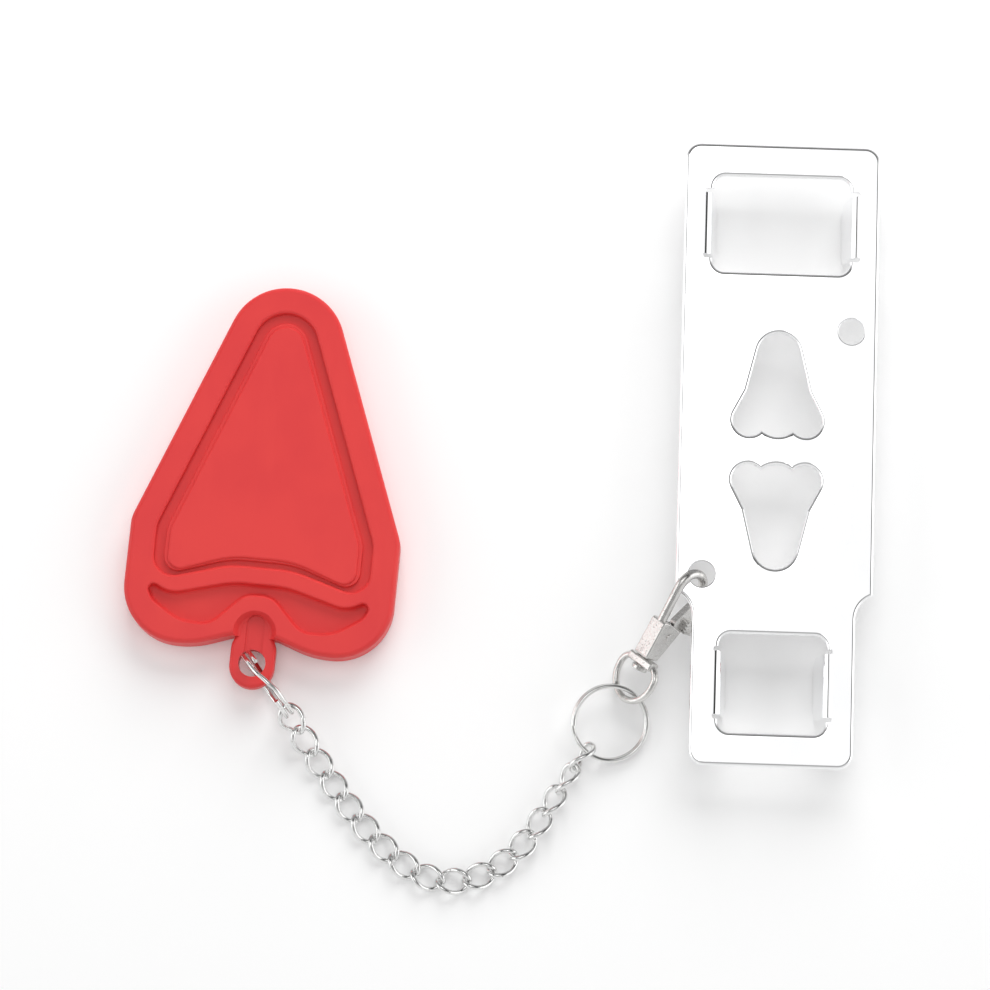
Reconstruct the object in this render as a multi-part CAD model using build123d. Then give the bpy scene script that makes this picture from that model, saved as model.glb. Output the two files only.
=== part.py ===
import math
import os

from build123d import *

# Portable door lock, laid out on a table: a bent steel strike plate, a moulded wedge,
# and the tether between them (snap hook, swivel eye, two split rings, curb chain).
# Millimetres. Z is up, Y runs along the plate, and the origin is the centre of the
# plate at the level of its claw tips, which is the table's surface.

# Strike plate
plate_length = 160.0
plate_width = 50.0
plate_thickness = 1.5
plate_corner_radius = 4.0
plate_edge_round = 0.35
plate_roll_round = 1.0
tail_width_share = 0.828
tail_start_share = 0.2375
tail_notch_radius = 6.3
claw_height = 12.5
claw_width = 16.0
claw_bend_radius = 2.5
claw_lean = 8.0
claw_relief = 1.2
claw_tip_chamfer = 2.4
window_centre_share = 0.36875
window_height = 24.9
window_corner_radius = 3.0
upper_window_share = 0.7
upper_bend_share = 0.8
lower_window_share = 0.54
lower_bend_share = 0.6

# Keyholes that the wedge goes through, mirrored about a line near the plate's middle
keyhole_mirror_y = 0.5
keyhole_dome_end = 30.2
keyhole_dome_radius = 5.3
keyhole_lobe_end = 3.7
keyhole_side_lobe_radius = 4.0
keyhole_side_lobe_offset = 7.2
keyhole_middle_lobe_radius = 6.0
keyhole_waist_half_width = 7.8
keyhole_waist_y = 15.2

# Tether holes, one at each side of the plate
tether_hole_diameter = 6.6
tether_hole_x_share = 0.366
tether_hole_y_share = 0.198125

# Wedge handle, drawn from the centre of its tab hole, with v towards the apex
wedge_thickness = 9.4
wedge_edge_round = 1.3
wedge_apex_v = 96.8
wedge_apex_radius = 15.0
wedge_shoulder_share = 0.3513
wedge_half_width = 34.3
wedge_shoulder_radius = 8.0
wedge_lobe_v = 3.1
wedge_lobe_radius = 14.5
wedge_lobe_inner_u = 15.0
wedge_lobe_inner_radius = 24.0
tab_half_width = 5.7
tab_root_v = 6.4
tab_root_radius = 1.0
tab_end_v = -6.4
tab_thickness = 5.0
tab_edge_round = 0.9
tab_hole_diameter = 6.9
tab_blend_v = 9.0
groove_inset = 6.8
groove_width = 3.4
groove_depth = 1.9
groove_foot_share = 0.6
groove_edge_round = 0.8
ledge_width = 0.9
ledge_depth = 0.7
ledge_edge_round = 0.3
panel_edge_round = 0.6
panel_foot_v = 18.4
panel_arch_rise = 5.8
panel_arch_half = 8.0
panel_corner_radius = 5.0
panel_arch_radius = 24.0
pocket_depth = 2.7
pocket_edge_round = 0.5
pocket_floor_round = 1.0
pocket_crown_u = 6.8
pocket_crown_v = 19.8
pocket_crown_radius = 24.0
pocket_dip_u = 22.3
pocket_dip_v = 15.5
pocket_dip_radius = 7.5
pocket_tip_u = 29.6
pocket_tip_v = 19.2
pocket_tip_radius = 1.4
pocket_side_u = 26.9
pocket_side_v = 13.5
pocket_side_radius = 5.0
pocket_keel_u = 19.3
pocket_keel_v = 8.6
pocket_keel_radius = 12.0
pocket_low_u = 11.5
pocket_low_radius = 6.0
pocket_bridge_u = 3.4
pocket_bridge_v = 17.0
pocket_bridge_radius = 6.0
saddle_radius = 4.0
saddle_v = 7.6
saddle_draft = 34.0
saddle_floor_round = 1.2
channel_width = 4.6
channel_depth = 0.5
channel_end_v = 7.6

# Wire goods
ring_outer_diameter = 20.0
ring_wire = 1.15
ring_wire_gap = 0.45
ring_jog_angle = 56.0
ring_end_angle = 8.0
ring_nest = 2.24
link_wire = 1.3
link_half_length = 4.1
link_half_width = 2.85
link_twist = 45.0
link_slack = 0.18
link_start_lift = 0.1
link_arc_points = 8

# Snap hook, drawn from the middle of its foot: s runs to the nose, n to the lever
hook_wire = 2.4
hook_spine_length = 20.2
hook_spine_foot = 4.0
hook_bend_radius = 4.1
hook_tip_s = 18.3
hook_cheek_thickness = 5.0
hook_foot_back = 1.5
hook_foot_front = 2.9
hook_head_s = 10.4
hook_head_n = 1.2
hook_shoulder_s = 9.2
hook_shoulder_n = 6.0
hook_corner_round = 0.6
hook_edge_round = 0.45
slot_width = 2.4
slot_floor_s = 3.4
slot_back_n = 0.1
pivot_s = 6.9
pivot_n = 2.95
pivot_diameter = 1.5
pivot_head_diameter = 2.3
pivot_head_height = 0.35
hook_bar_angle = 25.0
hook_heading = 26.0
hook_slope = 18.0
hook_roll = 50.0
hook_seat_x = -0.1
hook_seat_y = -0.7

# Trigger lever and its spring
lever_thickness = 1.9
lever_eye_radius = 1.6
lever_tip_radius = 0.9
lever_tip_s = 16.3
lever_seat_n = 3.95
lever_seat_round = 0.3
lever_throat_s = 10.9
lever_throat_radius = 2.6
lever_crook_s = 13.4
lever_pad_s = 12.4
lever_pad_n = 10.4
lever_pad_length = 3.6
lever_pad_root_n = 6.7
lever_pad_round = 0.6
lever_heel_s = 8.6
lever_heel_n = 6.4
lever_round_share = 0.95
lever_pad_width = 4.2
lever_ridge_count = 4
lever_ridge_height = 0.4
spring_wire = 0.3
spring_diameter = 1.7
spring_turns = 3
spring_end_gap = 0.1
spring_s = 9.5

# Swivel: rivet through the foot of the hook, and the eye that turns on it
swivel_n = 0.75
swivel_shank_diameter = 2.2
swivel_head_diameter = 4.2
swivel_head_height = 1.0
swivel_shank_depth = 2.6
eye_wire = 1.8
eye_base_length = 8.6
eye_base_depth = 2.3
eye_base_height = 3.2
eye_half_width = 7.3
eye_reach = 12.8
eye_shoulder_radius = 3.4
eye_bottom_radius = 6.6
eye_lift = 38.0

# Clearances
edge_tolerance = 0.01
gap_points_per_wire = 4
right_angle = 90.0
running_fit = 0.05
side_play = 0.25
link_play = 0.3
cut_overrun = 1.0

# How the tether lies on the table, in degrees and shares; one heading for each link
chain_headings = [234, 239, 240, 238, 231, 218, 203, 184, 162, 146, 138, 132, 128, 126, 126, 124, 123]
chain_fall_shares = [-0.05, 0.1, 0.25, 0.28, 0.24, 0.18]
chain_rise_angles = [6, 14, 26]
chain_start_rolls = [-84, -63, -43, -26, -11]
chain_end_rolls = [2, 8, 15]
ring_offset_heading = 243.0
ring_lean = 15.4
ring_lean_heading = 311.0
chain_start_heading = 232.0
handle_ring_heading = 128.0
wedge_heading = 86.2


def heading(angle, lift=0.0):
    """Unit vector at a compass angle from +X, lifted from the table."""
    flat, rise = math.radians(angle), math.radians(lift)
    return Vector(math.cos(rise) * math.cos(flat), math.cos(rise) * math.sin(flat), math.sin(rise))


def extrude_between(sketch, low, high):
    """Extrude an XY sketch from one height to another."""
    return extrude(Pos(0, 0, low) * sketch, high - low)


def tangent_point(centre, radius, point, side):
    """Where a line from a point touches a circle; side picks one of the two."""
    dx, dy = point[0] - centre[0], point[1] - centre[1]
    reach = math.hypot(dx, dy)
    turn = math.atan2(dy, dx) + side * math.acos(radius / reach)
    return (centre[0] + radius * math.cos(turn), centre[1] + radius * math.sin(turn))


def tube(path, diameter):
    """A round bar along a wire."""
    start, along = path @ 0, path % 0
    return sweep(Plane(origin=start, z_dir=along) * Circle(diameter / 2), path=path, clean=False)


def print_own_gap(name, path, diameter):
    """Print the least gap between a wire's turns, from points along its path."""
    count = math.ceil(path.length / (diameter / gap_points_per_wire))
    points = [path @ (index / count) for index in range(count + 1)]
    skip = round(math.pi * gap_points_per_wire)
    pairs = ((one, other) for index, one in enumerate(points) for other in points[index + skip :])
    least = min((other - one).length for one, other in pairs)
    print(name + ", least gap to itself:", round(least - diameter, 3))


def smooth_arcs(points, tangents):
    """Two tangent arcs from each point to the next, as one list of edges."""
    edges = []
    for (p1, t1), (p2, t2) in zip(zip(points, tangents), list(zip(points, tangents))[1:]):
        chord, both = p2 - p1, t1 + t2
        spread = 2 * (1 - t1.dot(t2))
        lean = chord.dot(both)
        reach = (math.sqrt(lean**2 + spread * chord.dot(chord)) - lean) / spread
        middle = (p1 + t1 * reach + p2 - t2 * reach) * 0.5
        edges.append(TangentArc(p1, middle, tangent=t1))
        edges.append(TangentArc(middle, p2, tangent=(chord - both * reach).normalized()))
    return edges


def flat_edges(solid, index):
    """The edges of a solid's lowest (0) or highest (-1) flat faces."""
    flats = solid.faces().filter_by(Axis.Z).group_by(Axis.Z)
    return ShapeList([edge for face in flats[index] for edge in face.edges()])


def rounded(solid, radius):
    """Fillet the outlines of a solid's lowest and highest flat faces."""
    return fillet(flat_edges(solid, 0) + flat_edges(solid, -1), radius)


# Strike plate


def tether_hole_place():
    """The free tether hole's place; the hook's hole is opposite."""
    return plate_width * tether_hole_x_share, plate_length * tether_hole_y_share


def plate_outline():
    """The plate's outline: a rectangle whose tail is notched in by concave arcs."""
    body = Rectangle(plate_width, plate_length)
    tail_width = plate_width * tail_width_share
    tail_length = plate_length * tail_start_share
    tail_end_y = tail_length - plate_length / 2
    for side in (-1, 1):
        trim_width = (plate_width - tail_width) / 2 + cut_overrun
        trim_x = side * (tail_width / 2 + trim_width / 2)
        body -= Pos(trim_x, tail_end_y - (tail_length + cut_overrun) / 2) * Rectangle(
            trim_width, tail_length + cut_overrun
        )
        body -= Pos(side * (tail_width / 2 + tail_notch_radius), tail_end_y) * Circle(tail_notch_radius)
    corners = body.vertices().group_by(Axis.Y)
    return fillet(corners[0] + corners[-1], plate_corner_radius)


def keyhole(direction):
    """Nose-shaped hole: a dome, a waist and three lobes."""
    dome_y = keyhole_dome_end - keyhole_dome_radius
    lobe_y = keyhole_lobe_end + keyhole_side_lobe_radius
    middle_y = keyhole_lobe_end + keyhole_middle_lobe_radius
    waist = (keyhole_waist_half_width, keyhole_waist_y)
    lobe = (keyhole_side_lobe_offset, lobe_y)
    brow = tangent_point((0, dome_y), keyhole_dome_radius, waist, 1)
    cheek = tangent_point(lobe, keyhole_side_lobe_radius, waist, -1)
    half = [brow, waist, cheek, lobe]
    outline = half + [(-x, y) for x, y in reversed(half)]
    shape = make_face(Polyline(*outline, close=True))
    shape += Pos(0, dome_y) * Circle(keyhole_dome_radius)
    shape += Pos(0, middle_y) * Circle(keyhole_middle_lobe_radius) & Rectangle(
        2 * keyhole_side_lobe_offset, 2 * lobe_y
    )
    for side in (-1, 1):
        shape += Pos(side * keyhole_side_lobe_offset, lobe_y) * Circle(keyhole_side_lobe_radius)
    if direction < 0:
        shape = mirror(shape, about=Plane.XZ)
    return Pos(0, keyhole_mirror_y) * shape


def window(centre_y, width):
    """One of the plate's two windows."""
    return Pos(0, centre_y) * RectangleRounded(width, window_height, window_corner_radius)


def claw_relief_cut(centre_y, bend_span):
    """The cut that frees the two claws of a window up to their bends."""
    relief_height = claw_width + 2 * claw_relief
    return Pos(0, centre_y) * RectangleRounded(bend_span, relief_height, claw_relief / 2)


def claw(centre_y, bend_span, side):
    """A tongue of the plate bent down at one side of its window."""
    low_z = claw_height - plate_thickness
    bend_x = bend_span / 2
    bend_z = claw_height - claw_bend_radius
    inner_radius = claw_bend_radius - plate_thickness
    lean = math.radians(claw_lean)
    leg_length = (bend_z + inner_radius * math.sin(lean)) / math.cos(lean)
    bend = Circle(claw_bend_radius) - Circle(inner_radius)
    bend -= Pos(claw_bend_radius / 2, 0) * Rectangle(claw_bend_radius, 2 * claw_bend_radius)
    bend -= Rot(0, 0, -claw_lean) * Pos(0, -claw_bend_radius / 2) * Rectangle(
        2 * claw_bend_radius, claw_bend_radius
    )
    leg = Pos(-claw_bend_radius + plate_thickness / 2, -leg_length / 2) * Rectangle(
        plate_thickness, leg_length
    )
    root = Pos(plate_thickness / 2, low_z - bend_z + plate_thickness / 2) * Rectangle(
        plate_thickness, plate_thickness
    )
    profile = Plane.XZ * Pos(bend_x, bend_z) * (bend + Rot(0, 0, -claw_lean) * leg + root)
    tongue = extrude(profile, claw_width / 2, both=True)
    tip_face = tongue.faces().sort_by(Axis.Z)[0]
    tips = tip_face.edges().sort_by(SortBy.LENGTH)[:2]
    tongue = chamfer(tips, claw_tip_chamfer)
    if side < 0:
        tongue = mirror(tongue, about=Plane.YZ)
    return Pos(0, centre_y, 0) * tongue


def make_strike_plate():
    """The plate with its holes, windows and four claws."""
    face = plate_outline()
    centre_y = plate_length * window_centre_share
    upper_span, lower_span = plate_width * upper_bend_share, plate_width * lower_bend_share
    face -= window(centre_y, plate_width * upper_window_share)
    face -= window(-centre_y, plate_width * lower_window_share)
    face -= keyhole(1)
    face -= keyhole(-1)
    low_z = claw_height - plate_thickness
    plate = extrude_between(face, low_z, claw_height)
    plate = fillet(flat_edges(plate, -1), plate_roll_round)
    plate = fillet(flat_edges(plate, 0), plate_edge_round)
    hole_radius = tether_hole_diameter / 2
    hole_x, hole_y = tether_hole_place()
    for side in (-1, 1):
        hole = Pos(side * hole_x, side * hole_y) * Circle(hole_radius)
        plate -= extrude_between(hole, low_z - cut_overrun, claw_height + cut_overrun)
    circles = plate.edges().filter_by(GeomType.CIRCLE)
    rims = [edge for edge in circles if abs(edge.radius - hole_radius) < edge_tolerance]
    plate = fillet(rims, plate_edge_round)
    reliefs = claw_relief_cut(centre_y, upper_span)
    reliefs += claw_relief_cut(-centre_y, lower_span)
    plate -= extrude_between(reliefs, low_z - cut_overrun, claw_height + cut_overrun)
    for side in (-1, 1):
        plate += claw(centre_y, upper_span, side)
        plate += claw(-centre_y, lower_span, side)
    return plate


# Wedge handle, in its own frame: X is u, Y is v, and Z is zero at its middle


def wedge_side(inset):
    """Apex, shoulder and lobe points of the right side, moved inward."""
    drop = wedge_apex_v - wedge_apex_radius - wedge_apex_v * wedge_shoulder_share
    reach = math.hypot(wedge_half_width, drop)
    slope = math.atan2(wedge_half_width, drop) - math.asin(wedge_apex_radius / reach)
    crest_v = wedge_apex_v - wedge_apex_radius + wedge_apex_radius / math.sin(slope)
    crest_v -= inset / math.sin(slope)
    half = wedge_half_width - inset
    shoulder_v = crest_v - half / math.tan(slope)
    return crest_v, half, shoulder_v


def mirrored_face(points, radii):
    """A face from its right-hand points, mirrored about the v axis."""
    left = [(-u, v) for u, v in reversed(points) if u > 0]
    left_radii = [radius for (u, v), radius in zip(reversed(points), reversed(radii)) if u > 0]
    path = FilletPolyline(*points, *left, radius=list(radii) + left_radii, close=True)
    return make_face(path)


def wedge_outline():
    """The handle's outline without its tab."""
    crest_v, half, shoulder_v = wedge_side(0)
    points = [
        (0, crest_v),
        (half, shoulder_v),
        (half, wedge_lobe_v),
        (wedge_lobe_inner_u, wedge_lobe_v),
        (tab_half_width, tab_root_v),
    ]
    radii = [
        wedge_apex_radius,
        wedge_shoulder_radius,
        wedge_lobe_radius,
        wedge_lobe_inner_radius,
        tab_root_radius,
    ]
    return mirrored_face(points, radii)


def panel_face(inset):
    """An outline inside the rim whose foot is an arch over the tab."""
    crest_v, half, shoulder_v = wedge_side(inset)
    depth = inset - groove_inset
    foot_v = panel_foot_v + depth * groove_foot_share
    points = [(0, crest_v), (half, shoulder_v), (half, foot_v)]
    points += [(panel_arch_half, foot_v + panel_arch_rise)]
    radii = [wedge_apex_radius - inset, wedge_shoulder_radius, panel_corner_radius - depth / 2]
    radii += [panel_arch_radius]
    return mirrored_face(points, radii)


def pocket_face():
    """The crescent pocket between the panel's arch and the rim."""
    points = [
        (pocket_crown_u, pocket_crown_v),
        (pocket_dip_u, pocket_dip_v),
        (pocket_tip_u, pocket_tip_v),
        (pocket_side_u, pocket_side_v),
        (pocket_keel_u, pocket_keel_v),
        (pocket_low_u, pocket_keel_v),
        (pocket_bridge_u, pocket_bridge_v),
    ]
    radii = [
        pocket_crown_radius,
        pocket_dip_radius,
        pocket_tip_radius,
        pocket_side_radius,
        pocket_keel_radius,
        pocket_low_radius,
        pocket_bridge_radius,
    ]
    return mirrored_face(points, radii)


def saddle_face():
    """The round-ended relief that brings the rim down to the tab."""
    length = saddle_v - tab_end_v
    straight = Pos(0, saddle_v - length / 2) * Rectangle(2 * saddle_radius, length)
    return straight + Pos(0, saddle_v) * Circle(saddle_radius)


def traced_edges(solid, height, face):
    """A solid's flat edges at a height whose middles lie on a face's outline."""
    outline = face.face().outer_wire().moved(Pos(0, 0, height))
    edges = []
    for edge in solid.edges():
        box = edge.bounding_box()
        level = abs(box.min.Z - height) + abs(box.max.Z - height) < edge_tolerance
        if level and outline.distance_to(edge @ (1 / 2)) < edge_tolerance:
            edges.append(edge)
    return edges


def floor_rounded(face, floor, over, radius):
    """A cut with a face's outline whose floor edges are filleted."""
    cut = extrude_between(face, floor, over)
    return fillet(traced_edges(cut, floor, face), radius)


def make_wedge():
    """The handle: rim, groove with a ledge, panel, pocket, tab, channel and hole."""
    top = wedge_thickness / 2
    over = top + cut_overrun
    body = rounded(extrude_between(wedge_outline(), -top, top), wedge_edge_round)
    tab_half = tab_thickness / 2
    tab_length = tab_blend_v - tab_end_v
    tab_sketch = Pos(0, tab_end_v + tab_length / 2) * SlotCenterToCenter(
        tab_length - 2 * tab_half_width, 2 * tab_half_width, rotation=90
    )
    body += rounded(extrude_between(tab_sketch, -tab_half, tab_half), tab_edge_round)
    rim_face = panel_face(groove_inset)
    island_face = panel_face(groove_inset + groove_width)
    ledge_face = panel_face(groove_inset + groove_width - ledge_width)
    channel_length = channel_end_v + channel_width / 2
    channel = Pos(0, channel_length / 2) * SlotCenterToCenter(channel_length, channel_width, rotation=90)
    recess = extrude_between(rim_face - ledge_face, top - groove_depth, over)
    recess += extrude_between(rim_face - island_face, top - ledge_depth, over)
    recess += floor_rounded(pocket_face(), top - pocket_depth, over, pocket_floor_round)
    saddle = extrude(Pos(0, 0, tab_half) * saddle_face(), amount=over - tab_half, taper=-saddle_draft)
    recess += fillet(traced_edges(saddle, tab_half, saddle_face()), saddle_floor_round)
    recess += extrude_between(channel, tab_half - channel_depth, over)
    soft_edges = [
        (rim_face, top, groove_edge_round),
        (island_face, top, panel_edge_round),
        (ledge_face, top - ledge_depth, ledge_edge_round),
        (pocket_face(), top, pocket_edge_round),
    ]
    for side in (1, -1):
        body -= recess if side > 0 else mirror(recess, about=Plane.XY)
        for face, height, radius in soft_edges:
            body = fillet(traced_edges(body, side * height, face), radius)
    return body - Cylinder(tab_hole_diameter / 2, wedge_thickness)


# Wire goods, each in its own frame


def make_split_ring():
    """Two turns of one wire about Z, joined by a jog from the lower to the upper."""
    radius = (ring_outer_diameter - ring_wire) / 2
    rise = (ring_wire + ring_wire_gap) / 2
    jog = math.radians(ring_jog_angle)
    end = math.radians(ring_end_angle)
    full_turn = 2 * math.pi

    def place(turn, level):
        return Vector(radius * math.cos(turn), radius * math.sin(turn), level)

    def along(turn):
        return Vector(-math.sin(turn), math.cos(turn), 0)

    edges = []
    first, last = jog / 2 + end, full_turn - jog / 2
    for start, stop, level in ((first, last, -rise), (jog / 2, full_turn - jog / 2 - end, rise)):
        steps = 4
        for step in range(steps):
            low = start + (stop - start) * step / steps
            high = start + (stop - start) * (step + 1) / steps
            middle = place((low + high) / 2, level)
            edges.append(ThreePointArc(place(low, level), middle, place(high, level)))
    half_way = Vector(radius, 0, 0)
    climb = Vector(0, radius * math.sin(jog / 2), rise).normalized()
    points = [place(-jog / 2, -rise), half_way, place(jog / 2, rise)]
    edges[4:4] = smooth_arcs(points, [along(-jog / 2), climb, along(jog / 2)])
    path = Wire(edges)
    print_own_gap("split ring", path, ring_wire)
    return tube(path, ring_wire)


def link_point(turn):
    """A point on a curb link's centre line, which twists from end to end."""
    twist = math.radians(link_twist) * math.cos(turn)
    side = link_half_width * math.sin(turn)
    return Vector(link_half_length * math.cos(turn), side * math.cos(twist), side * math.sin(twist))


def make_link():
    """A curb link along X, swept along tangent arcs as one closed loop."""
    count = link_arc_points
    step = 2 * math.pi / count
    turns = [step * (index + 1 / 2) for index in range(count)]
    points = [link_point(turn) for turn in turns]
    small = step / count
    tangents = [(link_point(turn + small) - link_point(turn - small)).normalized() for turn in turns]
    halves = []
    middle = count // 2
    for start in (0, middle):
        picks = [(start + index) % count for index in range(middle + 1)]
        wire = Wire(smooth_arcs([points[pick] for pick in picks], [tangents[pick] for pick in picks]))
        halves.append(tube(wire, link_wire))
    return halves[0] + halves[1]


# Snap hook, in its own frame: X is s, Y is n, and Z is zero in its middle plane


def slab(points, radii, thickness):
    """A plate with a filleted outline, centred on the XY plane."""
    face = make_face(FilletPolyline(*points, radius=radii, close=True))
    return extrude_between(face, -thickness / 2, thickness / 2)


def make_hook_body():
    """Round spine and nose, and two cheeks with the lever's slot between them."""
    bend_top = (hook_spine_length + hook_bend_radius, hook_bend_radius)
    nose_n = 2 * hook_bend_radius
    spine = Line((hook_spine_foot, 0), (hook_spine_length, 0))
    bend = ThreePointArc((hook_spine_length, 0), bend_top, (hook_spine_length, nose_n))
    tip = Line((hook_spine_length, nose_n), (hook_tip_s, nose_n))
    bar = tube(Wire([spine.edge(), bend.edge(), tip.edge()]), hook_wire)
    tip_face = bar.faces().filter_by(Axis.X).group_by(Axis.X)[-1]
    bar = fillet(tip_face[0].edges(), hook_wire / 4)
    cheek_points = [
        (0, -hook_foot_back),
        (0, hook_foot_front),
        (hook_shoulder_s, hook_shoulder_n),
        (hook_head_s, hook_head_n),
        (hook_head_s, -hook_wire / 2),
    ]
    cheeks = rounded(slab(cheek_points, hook_corner_round, hook_cheek_thickness), hook_edge_round)
    slot_length = hook_head_s - slot_floor_s + cut_overrun
    slot_height = hook_shoulder_n - slot_back_n + cut_overrun
    cheeks -= Pos(slot_floor_s + slot_length / 2, slot_back_n + slot_height / 2) * Box(
        slot_length, slot_height, slot_width
    )
    body = cheeks + bar
    reach = swivel_shank_depth + cut_overrun
    bore = Pos(swivel_shank_depth - reach / 2, swivel_n) * Rot(0, 90, 0)
    body -= bore * Cylinder(swivel_shank_diameter / 2, reach)
    return body - Pos(pivot_s, pivot_n) * Cylinder(pivot_diameter / 2, hook_cheek_thickness)


def make_lever():
    """Gate arm, eye for the pin and ridged thumb pad."""
    nose_n = 2 * hook_bend_radius
    inner, outer = nose_n - lever_tip_radius, nose_n + lever_tip_radius
    points = [
        (pivot_s - lever_eye_radius, pivot_n - lever_eye_radius),
        (pivot_s + lever_eye_radius, pivot_n - lever_eye_radius),
        (pivot_s + lever_eye_radius, lever_seat_n),
        (lever_throat_s, lever_seat_n),
        (lever_tip_s + lever_tip_radius, inner),
        (lever_tip_s + lever_tip_radius, outer),
        (lever_crook_s, outer),
        (lever_pad_s, lever_pad_n),
        (lever_pad_s - lever_pad_length, lever_pad_n),
        (lever_heel_s, lever_heel_n),
        (pivot_s - lever_eye_radius, pivot_n + lever_eye_radius),
    ]
    radii = [
        lever_eye_radius * lever_round_share,
        lever_eye_radius * lever_round_share,
        lever_seat_round,
        lever_throat_radius,
        lever_tip_radius * lever_round_share,
        lever_tip_radius * lever_round_share,
        lever_tip_radius,
        lever_pad_round,
        lever_pad_round,
        lever_throat_radius,
        lever_eye_radius * lever_round_share,
    ]
    arm = slab(points, radii, lever_thickness)
    pad_height = lever_pad_n - lever_pad_root_n
    pad = Pos(lever_pad_s - lever_pad_length / 2, lever_pad_n - pad_height / 2) * Box(
        lever_pad_length, pad_height, lever_pad_width
    )
    pad = fillet(pad.edges().filter_by(Axis.Z), lever_pad_round)
    lever = arm + pad
    ridge_pitch = lever_pad_length / lever_ridge_count
    for index in range(lever_ridge_count):
        ridge_s = lever_pad_s - ridge_pitch * (index + 1 / 2)
        ridge = Pos(ridge_s, lever_pad_n - pad_height / 2) * Box(
            ridge_pitch / 2, pad_height - lever_pad_round, lever_pad_width + 2 * lever_ridge_height
        )
        lever += ridge
    return lever - Pos(pivot_s, pivot_n) * Cylinder(pivot_diameter / 2 + running_fit, lever_pad_width)


def make_pin():
    """The lever's pin, with a peened head on each cheek."""
    pin = Cylinder(pivot_diameter / 2, hook_cheek_thickness)
    for side in (-1, 1):
        head_z = side * (hook_cheek_thickness + pivot_head_height) / 2
        pin += Pos(0, 0, head_z) * Cylinder(pivot_head_diameter / 2, pivot_head_height)
    return Pos(pivot_s, pivot_n) * rounded(pin, pivot_head_height / 2)


def make_spring():
    """Compression spring between the spine and the lever's arm, as one open helix."""
    radius = (spring_diameter - spring_wire) / 2
    start_n = hook_wire / 2 + spring_end_gap + spring_wire / 2
    stop_n = lever_seat_n - spring_end_gap - spring_wire / 2
    quarter = math.pi / 2
    rise = (stop_n - start_n) / (4 * spring_turns)
    lean = Vector(0, radius * quarter, rise).normalized()
    points, tangents = [], []
    for step in range(4 * spring_turns + 1):
        turn = step * quarter
        points.append(Vector(radius * math.cos(turn), radius * math.sin(turn), step * rise))
        tangents.append(lean.rotate(Axis.Z, math.degrees(turn)))
    path = Wire(smooth_arcs(points, tangents))
    print_own_gap("lever spring", path, spring_wire)
    coil = tube(path, spring_wire)
    return Pos(spring_s, start_n, 0) * Rot(-90, 0, 0) * coil


def make_swivel_rivet():
    """Rivet along s: its shank is pressed into the hook's foot, its head is in the eye."""
    shank_length = swivel_shank_depth + side_play + eye_base_depth + side_play + swivel_head_height
    shank = Cylinder(swivel_shank_diameter / 2, shank_length)
    head = Cylinder(swivel_head_diameter / 2, swivel_head_height)
    head_z = (swivel_head_height - shank_length) / 2
    rivet = rounded(shank + Pos(0, 0, head_z) * head, swivel_head_height / 4)
    return Pos(swivel_shank_depth - shank_length / 2, swivel_n) * Rot(0, 90, 0) * rivet


def make_eye():
    """D-shaped eye around the swivel's axis, in the XY plane before it is rolled."""
    top = -side_play
    base_s = top - eye_base_depth / 2
    base = Pos(base_s, 0, 0) * Box(eye_base_depth, eye_base_length, eye_base_height)
    base = fillet(base.edges(), eye_base_depth / 4)
    root = eye_base_length / 2 - eye_wire / 2
    far = top - eye_reach + eye_wire / 2
    shoulder = base_s - eye_wire / 2
    points = [
        (base_s, root),
        (shoulder, eye_half_width - eye_wire / 2),
        (far, eye_half_width - eye_wire / 2),
        (far, eye_wire / 2 - eye_half_width),
        (shoulder, eye_wire / 2 - eye_half_width),
        (base_s, -root),
    ]
    radii = [eye_shoulder_radius, eye_bottom_radius, eye_bottom_radius, eye_shoulder_radius]
    loop = tube(FilletPolyline(*points, radius=radii).wire(), eye_wire)
    bore = Rot(0, 90, 0) * Cylinder(swivel_shank_diameter / 2 + running_fit, eye_reach)
    eye = base + loop - Pos(base_s, 0, 0) * bore
    return Pos(0, swivel_n) * Rot(-hook_roll - eye_lift, 0, 0) * eye


# Where everything lies on the table


def hook_plane():
    """The snap hook's frame, hanging by its nose in the left tether hole."""
    along = heading(right_angle - hook_heading, hook_slope)
    level = heading(-hook_heading)
    above = level.cross(along)
    roll = math.radians(hook_roll)
    across = level * math.cos(roll) - above * math.sin(roll)
    bar = math.radians(hook_bar_angle)
    bar_s = hook_spine_length + hook_bend_radius * math.cos(bar)
    bar_n = hook_bend_radius * (1 + math.sin(bar))
    seat_z = claw_height - plate_thickness / 2
    hole_x, hole_y = tether_hole_place()
    seat = Vector(hook_seat_x - hole_x, hook_seat_y - hole_y, seat_z)
    origin = seat - along * bar_s - across * bar_n
    return Plane(origin=origin, x_dir=along, z_dir=along.cross(across)), seat


def ring_plane(eye_far):
    """The hook's split ring, leaning against the eye with its low side on the table."""
    lean = math.radians(ring_lean)
    normal = heading(ring_lean_heading, right_angle - ring_lean)
    radius = (ring_outer_diameter - ring_wire) / 2
    half_rise = (ring_wire + ring_wire_gap) / 2
    centre_z = radius * math.sin(lean) + half_rise * math.cos(lean) + ring_wire / 2
    reach = radius - ring_nest
    centre = eye_far + heading(ring_offset_heading) * reach
    centre = Vector(centre.X, centre.Y, centre_z)
    return Plane(origin=centre, x_dir=heading(ring_lean_heading - right_angle), z_dir=normal)


def ring_point(plane, angle):
    """The point of a ring's centre line that lies at a heading from its centre."""
    flat = heading(angle)
    rise = -(flat.X * plane.z_dir.X + flat.Y * plane.z_dir.Y) / plane.z_dir.Z
    return plane.origin + (flat + Vector(0, 0, rise)).normalized() * (ring_outer_diameter - ring_wire) / 2


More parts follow.
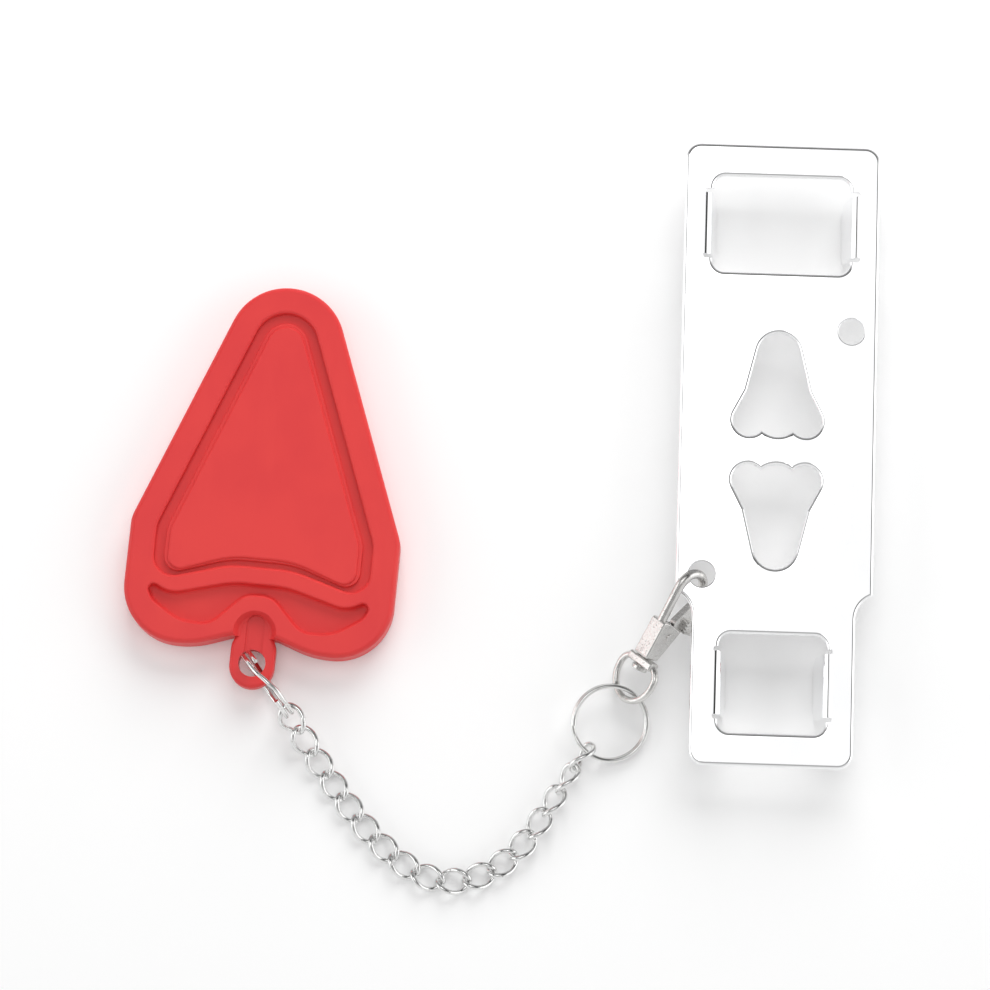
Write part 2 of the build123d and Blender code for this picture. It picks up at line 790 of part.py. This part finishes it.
def chain_layout(start):
    """Each link's plane and the hinge before it, and the hinge after the last one."""
    count = len(chain_headings)
    pitch = 2 * link_half_length - link_wire - link_slack
    half_stack = ring_wire + ring_wire_gap / 2
    inner_share = (half_stack + link_wire / 2 + link_play) / link_half_width
    ring_reach = link_half_length * math.sqrt(1 - inner_share**2) - ring_wire / 2
    lying_z = max(link_point(math.radians(turn)).Z for turn in range(180)) + link_wire / 2
    fall = start.Z - lying_z
    hinge, planes, hinges = start, [], [start]
    for index, angle in enumerate(chain_headings):
        from_end = count - 1 - index
        back = ring_reach if index == 0 else pitch / 2
        front = ring_reach if from_end == 0 else pitch / 2
        lift, roll = 0.0, 0.0
        if index < len(chain_fall_shares):
            lift = -math.degrees(math.asin(fall * chain_fall_shares[index] / (back + front)))
        if from_end < len(chain_rise_angles):
            lift = chain_rise_angles[len(chain_rise_angles) - 1 - from_end]
        if index < len(chain_start_rolls):
            roll = math.radians(chain_start_rolls[index])
        if from_end < len(chain_end_rolls):
            roll = math.radians(chain_end_rolls[len(chain_end_rolls) - 1 - from_end])
        along = heading(angle, lift)
        side = Vector(0, 0, 1).cross(along).normalized()
        up = along.cross(side) * math.cos(roll) + side * math.sin(roll)
        centre = hinge + along * back
        planes.append(Plane(origin=centre, x_dir=along, z_dir=up))
        hinge = centre + along * front
        hinges.append(hinge)
    return planes, hinges


def handle_ring_plane(hinge):
    """The handle's split ring, standing on the table through the last link."""
    radius = (ring_outer_diameter - ring_wire) / 2
    centre_z = ring_outer_diameter / 2
    reach = math.sqrt(radius**2 - (centre_z - hinge.Z) ** 2)
    centre = hinge + heading(handle_ring_heading) * reach
    centre = Vector(centre.X, centre.Y, centre_z)
    side = heading(handle_ring_heading - right_angle)
    return Plane(origin=centre, x_dir=Vector(0, 0, 1), z_dir=side)


def wedge_plane(ring):
    """The wedge, lying flat with its tab hole round the standing ring."""
    radius = (ring_outer_diameter - ring_wire) / 2
    middle_z = wedge_thickness / 2
    offsets = [
        math.sqrt(radius**2 - (ring.origin.Z - middle_z - side * tab_thickness / 2) ** 2)
        for side in (-1, 1)
    ]
    hole = ring.origin + heading(handle_ring_heading) * (sum(offsets) / 2)
    hole = Vector(hole.X, hole.Y, middle_z)
    return Plane(origin=hole, x_dir=heading(wedge_heading - right_angle))


hook_frame, hook_seat = hook_plane()
eye_far_local = Vector(-side_play - eye_reach + eye_wire / 2, swivel_n, 0)
eye_far = hook_frame.from_local_coords(eye_far_local)
hook_ring_frame = ring_plane(eye_far)
chain_start = ring_point(hook_ring_frame, chain_start_heading) + Vector(0, 0, link_start_lift)
link_frames, chain_hinges = chain_layout(chain_start)
handle_ring_frame = handle_ring_plane(chain_hinges[-1])
wedge_frame = wedge_plane(handle_ring_frame)

pieces = {"strike_plate": make_strike_plate()}
for name, maker in (
    ("hook_body", make_hook_body),
    ("trigger_lever", make_lever),
    ("lever_pin", make_pin),
    ("lever_spring", make_spring),
    ("swivel_rivet", make_swivel_rivet),
    ("swivel_eye", make_eye),
):
    pieces[name] = hook_frame.location * maker()
split_ring = make_split_ring()
pieces["hook_ring"] = hook_ring_frame.location * split_ring
pieces["handle_ring"] = handle_ring_frame.location * split_ring
link = make_link()
for number, frame in enumerate(link_frames, start=1):
    pieces[f"chain_link_{number:02d}"] = frame.location * link
pieces["wedge_handle"] = wedge_frame.location * make_wedge()

os.makedirs("parts", exist_ok=True)
for name, piece in pieces.items():
    export_step(piece, f"parts/{name}.step")
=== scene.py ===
import logging
import math
from dataclasses import dataclass
from enum import Enum
from typing import Any, Dict, Optional, Sequence, Tuple, Union

import bmesh
import bpy
from mathutils import Matrix, Vector

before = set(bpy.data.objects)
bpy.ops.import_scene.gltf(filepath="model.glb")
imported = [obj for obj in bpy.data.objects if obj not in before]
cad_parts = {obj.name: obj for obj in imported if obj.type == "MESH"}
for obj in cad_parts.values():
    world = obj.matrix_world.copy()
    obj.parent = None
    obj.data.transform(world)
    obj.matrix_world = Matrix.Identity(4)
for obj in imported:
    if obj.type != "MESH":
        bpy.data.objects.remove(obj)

log = logging.getLogger("door_lock")
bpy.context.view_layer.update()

Colour = Tuple[float, float, float]
MM = 0.001


class Sock:
    """An output socket whose arithmetic adds Math nodes."""

    def __init__(self, graph: "Graph", socket: bpy.types.NodeSocket) -> None:
        """Wrap one socket of a graph."""
        self.graph = graph
        self.socket = socket

    def _math(self, operation: str, *values: Any) -> "Sock":
        """Add one Math node.

        Args:
            operation: the node's operation.
            values: numbers or sockets for its inputs, in order.

        Returns:
            The node's result.
        """
        links = {index: value for index, value in enumerate(values)}
        return self.graph.node("ShaderNodeMath", {"operation": operation}, links)

    def __add__(self, other: Any) -> "Sock":
        """Add."""
        return self._math("ADD", self, other)

    def __radd__(self, other: Any) -> "Sock":
        """Add, reflected."""
        return self._math("ADD", other, self)

    def __sub__(self, other: Any) -> "Sock":
        """Subtract."""
        return self._math("SUBTRACT", self, other)

    def __rsub__(self, other: Any) -> "Sock":
        """Subtract, reflected."""
        return self._math("SUBTRACT", other, self)

    def __mul__(self, other: Any) -> "Sock":
        """Multiply."""
        return self._math("MULTIPLY", self, other)

    def __rmul__(self, other: Any) -> "Sock":
        """Multiply, reflected."""
        return self._math("MULTIPLY", other, self)

    def __truediv__(self, other: Any) -> "Sock":
        """Divide."""
        return self._math("DIVIDE", self, other)

    def __rtruediv__(self, other: Any) -> "Sock":
        """Divide, reflected."""
        return self._math("DIVIDE", other, self)

    def __pow__(self, other: Any) -> "Sock":
        """Raise to a power."""
        return self._math("POWER", self, other)

    def most(self, other: Any) -> "Sock":
        """The larger of two values."""
        return self._math("MAXIMUM", self, other)

    def step(self, low: float, high: float) -> "Sock":
        """Rise smoothly from 0 at low to 1 at high.

        Args:
            low: where the rise starts.
            high: where it ends.

        Returns:
            The stepped value.
        """
        settings = {"interpolation_type": "SMOOTHSTEP"}
        values = {"Value": self, "From Min": low, "From Max": high, "To Min": 0.0, "To Max": 1.0}
        return self.graph.node("ShaderNodeMapRange", settings, values, "Result")


class Graph:
    """A node tree that is filled through one method."""

    def __init__(self, tree: bpy.types.NodeTree) -> None:
        """Empty the tree and start anew."""
        self.tree = tree
        tree.nodes.clear()

    def node(
        self,
        kind: str,
        settings: Optional[Dict[str, Any]] = None,
        values: Optional[Dict[Union[str, int], Any]] = None,
        output: Union[str, int] = 0,
    ) -> Sock:
        """Add a node.

        Args:
            kind: the node's type.
            settings: properties that are set first.
            values: numbers, colours or sockets for the inputs.
            output: the output to return.

        Returns:
            The chosen output, or an empty socket where the node has none.
        """
        made = self.tree.nodes.new(kind)
        for name, value in (settings or {}).items():
            setattr(made, name, value)
        for name, value in (values or {}).items():
            if isinstance(value, Sock):
                self.tree.links.new(value.socket, made.inputs[name])
            else:
                made.inputs[name].default_value = value
        return Sock(self, made.outputs[output]) if len(made.outputs) else Sock(self, None)

    def place(self, scale: Sequence[float] = (1, 1, 1), turn: Sequence[float] = (0, 0, 0)) -> Sock:
        """Object coordinates, stretched and turned.

        Args:
            scale: stretch along each axis.
            turn: turn about each axis, in radians.

        Returns:
            The coordinates.
        """
        where = self.node("ShaderNodeTexCoord", output="Object")
        return self.node("ShaderNodeMapping", values={"Vector": where, "Rotation": turn, "Scale": scale})

    def noise(self, where: Sock, scale: float, detail: float = 2.0, rough: float = 0.5) -> Sock:
        """Noise from 0 to 1.

        Args:
            where: coordinates in metres.
            scale: features in one metre.
            detail: octaves.
            rough: how strong the finer octaves are.

        Returns:
            The noise's value.
        """
        values = {"Vector": where, "Scale": scale, "Detail": detail, "Roughness": rough}
        return self.node("ShaderNodeTexNoise", {"noise_dimensions": "3D"}, values, 0)

    def blend(self, share: Union[Sock, float], first: Any, second: Any) -> Sock:
        """Mix two colours.

        Args:
            share: 0 gives the first and 1 the second.
            first: a colour or socket.
            second: a colour or socket.

        Returns:
            The mixed colour.
        """
        values = {0: share, 6: opaque(first), 7: opaque(second)}
        return self.node("ShaderNodeMix", {"data_type": "RGBA"}, values, 2)

    def bump(self, height: Sock, depth: float, strength: float = 1.0, normal: Optional[Sock] = None) -> Sock:
        """A bump from a height.

        Args:
            height: the height, from 0 to 1.
            depth: how deep 1 is, in metres.
            strength: the bump's share.
            normal: a bump below this one.

        Returns:
            The normal.
        """
        values: Dict[Union[str, int], Any] = {"Height": height, "Distance": depth, "Strength": strength}
        if normal is not None:
            values["Normal"] = normal
        return self.node("ShaderNodeBump", values=values)


def opaque(colour: Any) -> Any:
    """Give a plain colour its alpha of 1; a socket is left as it is."""
    return colour if isinstance(colour, Sock) else (*colour, 1.0)


def surface(name: str) -> Tuple[bpy.types.Material, Graph]:
    """Start a material.

    Args:
        name: its name.

    Returns:
        The material and its empty graph.
    """
    material = bpy.data.materials.new(name)
    material.use_nodes = True
    return material, Graph(material.node_tree)


def close(graph: Graph, values: Dict[Union[str, int], Any]) -> None:
    """End a graph in a Principled shader.

    Args:
        graph: the material's graph.
        values: the shader's inputs.
    """
    shader = graph.node("ShaderNodeBsdfPrincipled", values=values)
    graph.node("ShaderNodeOutputMaterial", values={"Surface": shader})


@dataclass(frozen=True)
class MirrorSteel:
    """Stamped steel, polished to a mirror, with hairlines and faint wiping marks."""

    name: str = "mirror_steel"
    tone: Colour = (0.955, 0.957, 0.962)
    smudge: Colour = (0.90, 0.905, 0.915)
    gloss: float = 0.045

    def build(self) -> bpy.types.Material:
        """Make the material."""
        material, graph = surface(self.name)
        where = graph.place()
        wiped = graph.noise(graph.place((1, 0.18, 1), (0, 0, 0.5)), 120, 3, 0.6)
        hairs = graph.noise(graph.place((1, 0.012, 1), (0, 0, 0.22)), 5200, 2, 0.5)
        marks = graph.noise(where, 46, 4, 0.55).step(0.45, 0.75)
        colour = graph.blend(marks * 0.5, self.tone, self.smudge)
        rough = self.gloss + wiped.step(0.4, 0.8) * 0.03 + marks * 0.025 + hairs.step(0.62, 0.75) * 0.03
        normal = graph.bump(hairs.step(0.55, 0.8), 0.000004, 0.35)
        close(graph, {"Base Color": colour, "Roughness": rough, "Metallic": 1.0, "Normal": normal})
        return material


@dataclass(frozen=True)
class RedPlastic:
    """Satin red plastic with fine grain, flow marks and rubbed high spots."""

    name: str = "red_plastic"
    tone: Colour = (0.745, 0.046, 0.043)
    deep: Colour = (0.69, 0.036, 0.038)
    pale: Colour = (0.77, 0.060, 0.054)

    def build(self) -> bpy.types.Material:
        """Make the material."""
        material, graph = surface(self.name)
        where = graph.place()
        cloud = graph.noise(where, 34, 3, 0.55)
        flow = graph.noise(graph.place((1, 0.25, 1), (0, 0, 0.1)), 90, 3, 0.6)
        grain = graph.noise(where, 2600, 2, 0.6)
        base = graph.blend(cloud.step(0.35, 0.7), self.deep, self.tone)
        base = graph.blend(flow.step(0.5, 0.8) * 0.45, base, self.pale)
        rough = 0.40 + cloud * 0.10 + flow.step(0.5, 0.8) * 0.06
        normal = graph.bump(grain, 0.00003, 0.22)
        normal = graph.bump(cloud, 0.00025, 0.18, normal)
        values = {"Base Color": base, "Roughness": rough, "Normal": normal, "IOR": 1.47}
        values["Specular IOR Level"] = 0.42
        close(graph, values)
        return material


@dataclass(frozen=True)
class PlatedWire:
    """Bright nickel plate on drawn wire, a little uneven, with dark specks."""

    name: str
    tone: Colour
    shade: Colour
    gloss: float
    dent: float

    def build(self) -> bpy.types.Material:
        """Make the material."""
        material, graph = surface(self.name)
        where = graph.place()
        wave = graph.noise(where, 420, 3, 0.6)
        speck = graph.noise(where, 1900, 2, 0.5).step(0.60, 0.74)
        colour = graph.blend(speck * 0.6 + wave.step(0.55, 0.85) * 0.25, self.tone, self.shade)
        rough = self.gloss + wave * 0.07 + speck * 0.12
        normal = graph.bump(wave, self.dent, 0.5)
        normal = graph.bump(speck, 0.00002, 0.3, normal)
        close(graph, {"Base Color": colour, "Roughness": rough, "Metallic": 1.0, "Normal": normal})
        return material


@dataclass(frozen=True)
class CastPlate:
    """Plated zinc casting: an orange-peel skin, brighter where it is rubbed."""

    name: str = "cast_plate"
    tone: Colour = (0.70, 0.69, 0.675)
    shade: Colour = (0.26, 0.25, 0.24)

    def build(self) -> bpy.types.Material:
        """Make the material."""
        material, graph = surface(self.name)
        where = graph.place()
        skin = graph.noise(where, 900, 3, 0.6)
        pits = graph.noise(where, 2400, 2, 0.5).step(0.6, 0.72)
        worn = graph.noise(where, 210, 2, 0.5)
        colour = graph.blend(pits * 0.7 + worn.step(0.5, 0.8) * 0.3, self.tone, self.shade)
        rough = 0.16 + skin * 0.16 + pits * 0.15
        normal = graph.bump(skin, 0.00008, 0.5)
        normal = graph.bump(pits, 0.00004, 0.4, normal)
        close(graph, {"Base Color": colour, "Roughness": rough, "Metallic": 1.0, "Normal": normal})
        return material


class Finish(Enum):
    """The finishes of this object."""

    MIRROR = MirrorSteel()
    RED = RedPlastic()
    RING = PlatedWire("ring_wire", (0.80, 0.80, 0.79), (0.42, 0.41, 0.39), 0.08, 0.00004)
    CHAIN = PlatedWire("chain_wire", (0.80, 0.80, 0.795), (0.38, 0.37, 0.36), 0.09, 0.00006)
    CAST = CastPlate()
    SPRING = PlatedWire("spring_wire", (0.62, 0.62, 0.61), (0.36, 0.35, 0.34), 0.20, 0.00002)


class Wardrobe:
    """Makes each finish once and puts it on CAD nodes."""

    def __init__(self) -> None:
        """Start with no material made."""
        self.made: Dict[Finish, bpy.types.Material] = {}

    def material(self, finish: Finish) -> bpy.types.Material:
        """Give a finish's material, made on its first use."""
        if finish not in self.made:
            self.made[finish] = finish.value.build()
        return self.made[finish]

    def dress(self, names: Sequence[str], finish: Finish) -> None:
        """Put a finish on CAD nodes.

        Args:
            names: the nodes.
            finish: what they are made of.
        """
        for name in names:
            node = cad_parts[name]
            node.data.materials.clear()
            node.data.materials.append(self.material(finish))
            for polygon in node.data.polygons:
                polygon.material_index = 0
            log.info("%s dressed in %s", name, finish.value.name)


@dataclass(frozen=True)
class SoftLamp:
    """A square lamp that faces the origin: metres, watts, and whether metal mirrors it."""

    name: str
    place: Tuple[float, float, float]
    size: float
    power: float
    mirrored: bool = True


@dataclass
class Tabletop:
    """A pale floor under the object and the light room round it."""

    size: float = 6.0
    drop: float = 0.00003
    lift: float = 0.07
    tone: float = 0.93
    sky: float = 1.06
    sky_middle: Tuple[float, float, float] = (0.07, 0.16, 0.985)
    dark: float = 0.06
    far: float = 0.28
    near: float = 0.42
    side: float = 1.62
    sky_edge: Tuple[float, float] = (0.945, 0.968)
    low_edge: Tuple[float, float] = (0.62, 0.74)
    quarter_edge: Tuple[float, float] = (0.15, 0.65)
    least_flat: float = 0.0001
    grain_scale: float = 300
    grain_share: float = 0.1
    grain_shade: float = 0.97

    def floor(self) -> bpy.types.Object:
        """Make the floor, which keeps the object's shadow.

        Returns:
            The floor.
        """
        mesh = bpy.data.meshes.new("tabletop")
        shape = bmesh.new()
        bmesh.ops.create_grid(shape, x_segments=1, y_segments=1, size=self.size / 2)
        bmesh.ops.translate(shape, verts=shape.verts, vec=(0, 0, -self.drop))
        shape.to_mesh(mesh)
        shape.free()
        made = bpy.data.objects.new("tabletop", mesh)
        bpy.context.scene.collection.objects.link(made)
        material, graph = surface("tabletop")
        path = graph.node("ShaderNodeLightPath", output="Is Camera Ray")
        gloss = graph.node("ShaderNodeLightPath", output="Is Glossy Ray")
        clear = graph.node("ShaderNodeLightPath", output="Is Transmission Ray")
        seen = path.most(gloss).most(clear)
        paper = graph.noise(graph.place(), self.grain_scale)
        shade = (self.tone * self.grain_shade,) * 3
        colour = graph.blend(paper * self.grain_share, (self.tone,) * 3, shade)
        matte = graph.node("ShaderNodeBsdfDiffuse", values={"Color": colour})
        glow = graph.node("ShaderNodeEmission", values={"Strength": seen * self.lift})
        both = graph.node("ShaderNodeAddShader", values={0: matte, 1: glow})
        graph.node("ShaderNodeOutputMaterial", values={"Surface": both})
        mesh.materials.append(material)
        return made

    def room(self) -> None:
        """Light the room: white overhead, light low all round, and darker in between."""
        world = bpy.data.worlds.new("room")
        bpy.context.scene.world = world
        world.use_nodes = True
        graph = Graph(world.node_tree)
        where = graph.node("ShaderNodeTexCoord", output="Generated")
        rise = graph.node("ShaderNodeSeparateXYZ", values={0: where}, output="Z")
        along = graph.node("ShaderNodeSeparateXYZ", values={0: where}, output="Y")
        flat = (1 - rise * rise).most(self.least_flat) ** 0.5
        far = (along / flat).step(*self.quarter_edge)
        near = (along / flat * -1).step(*self.quarter_edge)
        flank = 1 - far - near
        values = {0: where, 1: self.sky_middle}
        aligned = graph.node("ShaderNodeVectorMath", {"operation": "DOT_PRODUCT"}, values, "Value")
        overhead = aligned.step(*self.sky_edge)
        low = 1 - rise.step(*self.low_edge)
        around = far * (self.dark + low * self.far) + near * (self.near + low * self.near)
        around = around + flank * (self.dark + low * self.side)
        level = overhead * self.sky + (1 - overhead) * around
        seen = graph.node("ShaderNodeLightPath", output="Is Camera Ray")
        shade = level * (1 - seen) + seen
        back = graph.node("ShaderNodeBackground", values={"Color": (1, 1, 1, 1), "Strength": shade})
        graph.node("ShaderNodeOutputWorld", values={"Surface": back})

    def lamps(self) -> None:
        """Hang two soft lamps, the stronger one low at the far side and out of the mirrors."""
        for soft in (
            SoftLamp("key", (0.15, 1.05, 0.72), 1.0, 12.6, mirrored=False),
            SoftLamp("fill", (-0.35, 0.10, 1.20), 0.8, 1.9),
        ):
            data = bpy.data.lights.new(soft.name, "AREA")
            data.shape = "SQUARE"
            data.size = soft.size
            data.energy = soft.power
            lamp = bpy.data.objects.new(soft.name, data)
            lamp.location = soft.place
            lamp.visible_glossy = soft.mirrored
            lamp.rotation_mode = "QUATERNION"
            lamp.rotation_quaternion = Vector(soft.place).to_track_quat("Z", "Y")
            bpy.context.scene.collection.objects.link(lamp)


@dataclass
class Viewpoint:
    """The camera, almost straight above, a little towards the near side."""

    distance: float = 1.000
    elevation: float = 81.0
    up_heading: float = 91.85
    pixel: float = 0.2533 * MM
    frame_pixels: float = 990.0
    anchor: Tuple[float, float, float] = (0.0, 0.0, 0.0125)
    anchor_pixel: Tuple[float, float] = (777.2, 452.2)
    sensor: float = 36.0

    def build(self) -> bpy.types.Object:
        """Make the camera so that the plate's centre lands where the photograph has it.

        Returns:
            The camera.
        """
        tilt, turn = math.radians(self.elevation), math.radians(self.up_heading)
        level = Vector((math.cos(turn), math.sin(turn), 0))
        forward = level * math.cos(tilt) - Vector((0, 0, math.sin(tilt)))
        up = level * math.sin(tilt) + Vector((0, 0, math.cos(tilt)))
        right = forward.cross(up)
        middle = self.frame_pixels / 2
        across = (self.anchor_pixel[0] - middle) * self.pixel
        above = (middle - self.anchor_pixel[1]) * self.pixel
        place = Vector(self.anchor) - forward * self.distance - right * across - up * above
        data = bpy.data.cameras.new("viewpoint")
        data.sensor_width = self.sensor
        data.lens = self.distance / self.pixel / self.frame_pixels * self.sensor
        data.clip_start, data.clip_end = 0.01, 20.0
        camera = bpy.data.objects.new("viewpoint", data)
        turned = Matrix((right, up, -forward)).transposed().to_4x4()
        camera.matrix_world = Matrix.Translation(place) @ turned
        bpy.context.scene.collection.objects.link(camera)
        bpy.context.scene.camera = camera
        return camera


@dataclass
class StrikePlate:
    """The stamped and bent plate."""

    wardrobe: Wardrobe

    def build(self) -> None:
        """Dress the plate."""
        self.wardrobe.dress(["strike_plate"], Finish.MIRROR)


@dataclass
class Handle:
    """The moulded wedge."""

    wardrobe: Wardrobe

    def build(self) -> None:
        """Dress the wedge."""
        self.wardrobe.dress(["wedge_handle"], Finish.RED)


@dataclass
class Tether:
    """Snap hook, swivel, rings and chain."""

    wardrobe: Wardrobe
    links: int = 17

    def build(self) -> None:
        """Dress the tether from the hook to the wedge."""
        cast = ["hook_body", "trigger_lever", "lever_pin", "swivel_rivet", "swivel_eye"]
        self.wardrobe.dress(cast, Finish.CAST)
        self.wardrobe.dress(["lever_spring"], Finish.SPRING)
        self.wardrobe.dress(["hook_ring", "handle_ring"], Finish.RING)
        names = [f"chain_link_{number:02d}" for number in range(1, self.links + 1)]
        self.wardrobe.dress(names, Finish.CHAIN)


def main() -> None:
    """Build the room, the camera and each sub-assembly, in order."""
    logging.basicConfig(level=logging.INFO, format="%(message)s")
    scene = bpy.context.scene
    scene.view_settings.view_transform = "Standard"
    Viewpoint().build()
    table = Tabletop()
    table.floor()
    table.room()
    table.lamps()
    wardrobe = Wardrobe()
    StrikePlate(wardrobe).build()
    Handle(wardrobe).build()
    Tether(wardrobe).build()


if __name__ == "__main__":
    main()
